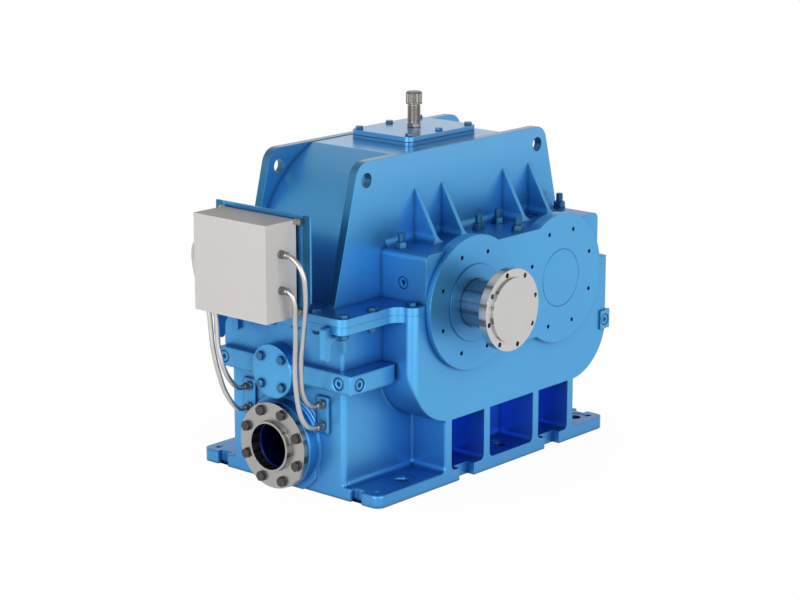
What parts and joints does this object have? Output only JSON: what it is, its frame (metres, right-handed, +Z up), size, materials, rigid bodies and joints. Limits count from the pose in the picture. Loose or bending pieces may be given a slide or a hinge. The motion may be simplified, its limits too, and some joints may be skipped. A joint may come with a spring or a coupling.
{
  "type": "high-speed gearbox",
  "caption": "Parallel-shaft high-speed gearbox in a split cast casing, with a flanged low-speed shaft, a rear high-speed shaft end, an oil outlet and a terminal box.",
  "frame": {"origin": "centre of the base plate's underside, midway between the four jacking holes", "axes": "+X along the row of bearing housings away from the oil outlet, the shafts lie along Y with the coupling flange towards -Y, +Z up"},
  "size_m": [1.497, 1.135, 1.222],
  "materials": {
    "blue_paint": "gloss",
    "box_paint": "satin",
    "steel": "machined",
    "dark_steel": "blackened",
    "bearing_metal": "machined",
    "gasket": "matte"
  },
  "bodies": {
    "casing": {"lower_casing": "blue_paint", "upper_casing": "blue_paint", "joint_bolts": "blue_paint", "bearing_studs": "blue_paint", "dowel_pins": "steel", "hatch_cover": "blue_paint", "hatch_gasket": "gasket", "hatch_bolts": "blue_paint", "breather_body": "steel", "breather_cap": "steel", "wheel_cover_front": "blue_paint", "wheel_seal_ring": "blue_paint", "pinion_cover_front": "blue_paint", "wheel_cover_rear": "blue_paint", "pinion_cover_rear": "blue_paint", "pinion_seal_ring": "blue_paint", "bearing_cover_screws": "dark_steel", "wheel_bearing_front": "bearing_metal", "wheel_bearing_rear": "bearing_metal", "pinion_bearing_front": "bearing_metal", "pinion_bearing_rear": "bearing_metal", "outlet_flange": "steel", "outlet_bolts": "dark_steel", "port_cover": "blue_paint", "port_bolts": "blue_paint", "gland_plates": "blue_paint", "casing_glands": "steel", "bracket_plate": "blue_paint", "bracket_bolts": "blue_paint", "terminal_base": "box_paint", "terminal_hood": "box_paint", "terminal_rail": "steel", "terminal_screws": "dark_steel", "box_glands": "steel", "conduit_a": "steel", "conduit_b": "steel", "conduit_c": "steel", "conduit_d": "steel", "gallery_plugs": "blue_paint", "spray_pipe": "steel"},
    "wheel": {"wheel_shaft": "steel", "gear_wheel": "steel", "coupling_flange": "steel", "flange_end_plate": "steel", "flange_screws": "dark_steel"},
    "pinion": {"pinion_shaft": "steel"}
  },
  "joints": [
    {"name": "wheel_spin", "type": "hinge", "parent": "casing", "child": "wheel", "pos_m": [-0.15, 0, 0.594], "axis": [0, 1, 0], "continuous": true},
    {"name": "pinion_spin", "type": "hinge", "parent": "casing", "child": "pinion", "pos_m": [0.305, 0, 0.594], "axis": [0, 1, 0], "continuous": true}
  ],
  "couplings": [
    {"joint": "pinion_spin", "follows": "wheel_spin", "ratio": -3}
  ]
}
